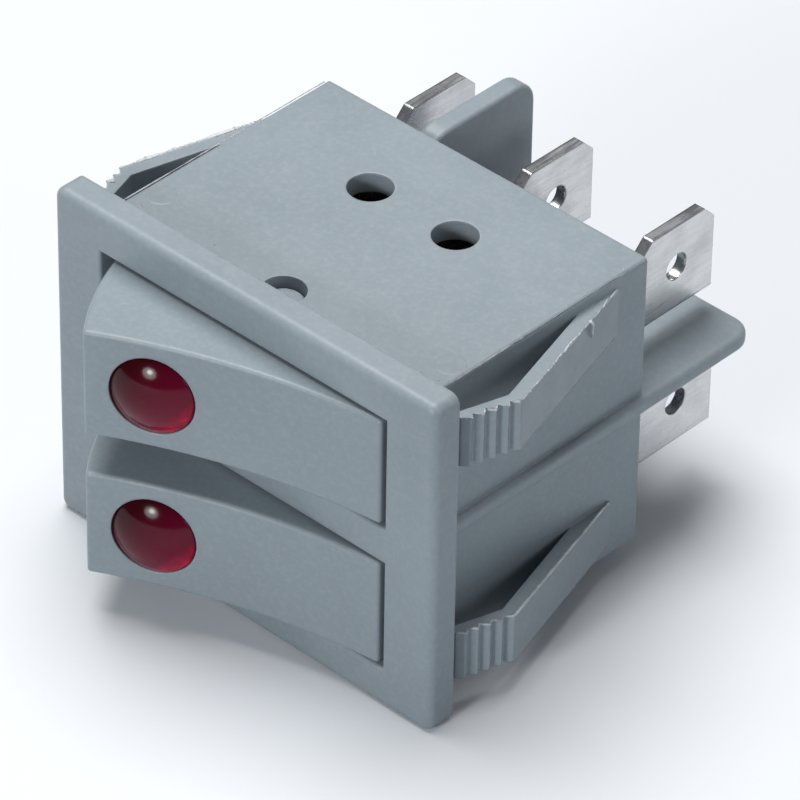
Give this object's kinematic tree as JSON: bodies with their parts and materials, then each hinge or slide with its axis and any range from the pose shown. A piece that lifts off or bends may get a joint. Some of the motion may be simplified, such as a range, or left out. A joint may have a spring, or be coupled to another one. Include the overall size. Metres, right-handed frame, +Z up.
{
  "type": "heater switch",
  "caption": "Snap-in panel switch for a heater, with paired rockers, red indicator lenses, a grey bezel and push-on tab terminals.",
  "frame": {"origin": "centre of the bezel's back face, which seats on the panel", "axes": "-Y is the front, +Y runs back through the panel to the terminals, +X runs along the bezel to the right with the lenses on the left, +Z is up along the bezel's short side"},
  "size_m": [0.0338, 0.0379, 0.0248],
  "materials": {
    "housing_plastic": "satin moulded nylon, mid grey",
    "rocker_plastic": "satin moulded nylon, mid grey",
    "lens_red": "clear red, glossy",
    "lamp_glass": "clear glass",
    "resistor_body": "lacquered beige",
    "wire": "tinned copper wire",
    "plunger_plastic": "natural nylon",
    "spring_steel": "bright spring wire",
    "contact_copper": "bare copper alloy",
    "contact_silver": "silver contact",
    "terminal_plate": "tin-plated brass, bright"
  },
  "bodies": {
    "housing": {"housing": "housing_plastic", "lamp_terminal_upper": "terminal_plate", "common_terminal_upper": "terminal_plate", "load_terminal_upper": "terminal_plate", "fixed_contact_upper": "contact_silver", "lead_wires_upper": "wire", "lamp_terminal_lower": "terminal_plate", "common_terminal_lower": "terminal_plate", "load_terminal_lower": "terminal_plate", "fixed_contact_lower": "contact_silver", "lead_wires_lower": "wire"},
    "rocker_upper": {"rocker_upper": "rocker_plastic", "lens_upper": "lens_red", "lamp_upper": "lamp_glass", "resistor_upper": "resistor_body", "bridge_wire_upper": "wire", "plunger_spring_upper": "spring_steel"},
    "plunger_upper": {"plunger_upper": "plunger_plastic"},
    "blade_upper": {"contact_blade_upper": "contact_copper", "moving_contact_upper": "contact_silver"},
    "rocker_lower": {"rocker_lower": "rocker_plastic", "lens_lower": "lens_red", "lamp_lower": "lamp_glass", "resistor_lower": "resistor_body", "bridge_wire_lower": "wire", "plunger_spring_lower": "spring_steel"},
    "plunger_lower": {"plunger_lower": "plunger_plastic"},
    "blade_lower": {"contact_blade_lower": "contact_copper", "moving_contact_lower": "contact_silver"}
  },
  "joints": [
    {"name": "rocker_upper_pivot", "type": "hinge", "parent": "housing", "child": "rocker_upper", "pos_m": [0, 0.00165, 0.0054], "axis": [0, 0, -1], "range_deg": [0, 36], "deforming": ["lead_wires_upper"]},
    {"name": "plunger_upper_slide", "type": "slide", "parent": "rocker_upper", "child": "plunger_upper", "axis": [-0.309, 0.9511, 0], "range_m": [0, 0.001], "stiffness_N_per_m": 300, "springref_m": 0.0012, "deforming": ["plunger_spring_upper"]},
    {"name": "blade_upper_rock", "type": "hinge", "parent": "housing", "child": "blade_upper", "pos_m": [0, 0.01437, 0.0054], "axis": [0, 0, 1], "range_deg": [0, 14]},
    {"name": "rocker_lower_pivot", "type": "hinge", "parent": "housing", "child": "rocker_lower", "pos_m": [0, 0.00165, -0.0054], "axis": [0, 0, -1], "range_deg": [0, 36], "deforming": ["lead_wires_lower"]},
    {"name": "plunger_lower_slide", "type": "slide", "parent": "rocker_lower", "child": "plunger_lower", "axis": [-0.309, 0.9511, 0], "range_m": [0, 0.001], "stiffness_N_per_m": 300, "springref_m": 0.0012, "deforming": ["plunger_spring_lower"]},
    {"name": "blade_lower_rock", "type": "hinge", "parent": "housing", "child": "blade_lower", "pos_m": [0, 0.01437, -0.0054], "axis": [0, 0, 1], "range_deg": [0, 14]}
  ],
  "couplings": [
    {"joint": "blade_upper_rock", "follows": "rocker_upper_pivot", "ratio": 0.3888},
    {"joint": "blade_lower_rock", "follows": "rocker_lower_pivot", "ratio": 0.3888}
  ]
}
